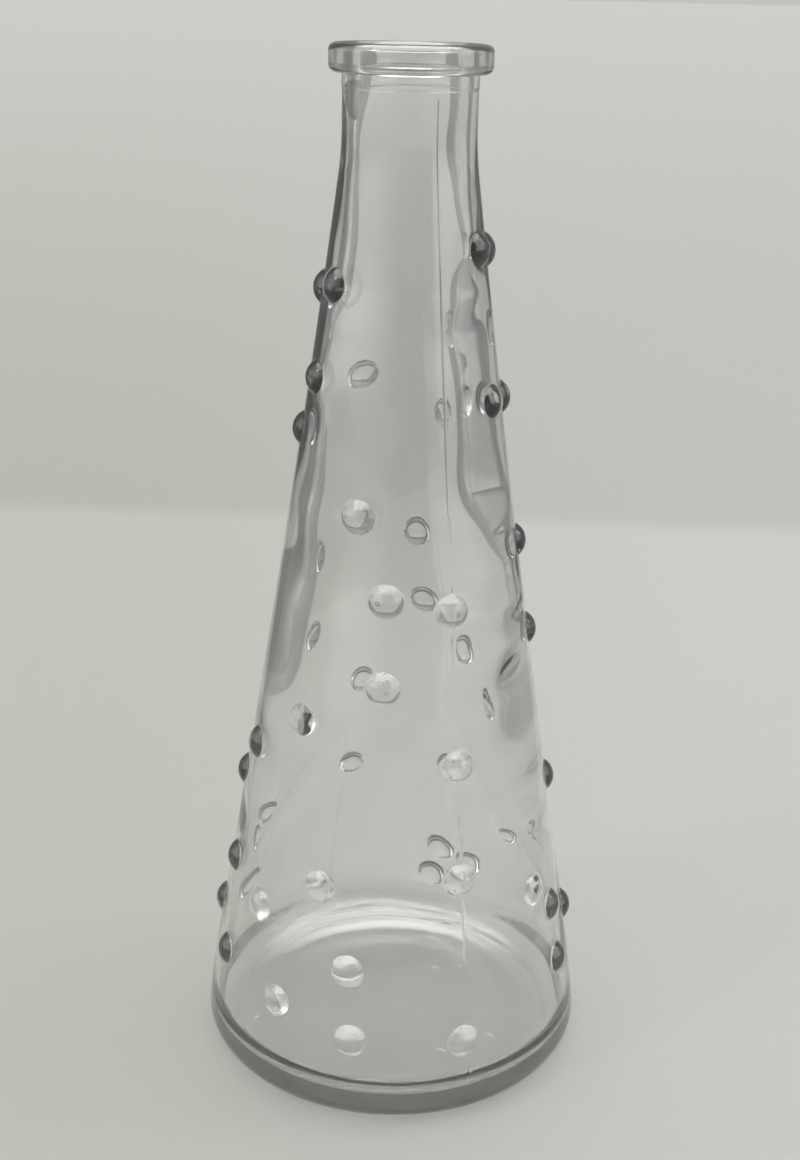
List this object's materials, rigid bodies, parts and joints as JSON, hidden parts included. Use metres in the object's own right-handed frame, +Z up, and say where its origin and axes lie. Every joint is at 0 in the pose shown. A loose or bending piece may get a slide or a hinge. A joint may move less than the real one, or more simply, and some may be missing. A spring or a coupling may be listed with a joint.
{
  "type": "glass carafe",
  "caption": "Tall conical carafe of clear glass with scattered raised drops, a narrow straight neck and a rolled lip, open at the top.",
  "frame": {"origin": "centre of the base, on the surface the carafe stands on", "axes": "+Z up along the axis of the carafe; -Y is the side that faces the camera in the picture; +X is to its right"},
  "size_m": [0.1054, 0.1054, 0.27],
  "materials": {
    "glass": "clear moulded soda-lime glass with a faint grey-green tint"
  },
  "bodies": {
    "root": {"lip": "glass", "neck_ring": "glass", "neck": "glass", "shoulder": "glass", "body": "glass", "heel": "glass", "floor": "glass"}
  },
  "joints": []
}
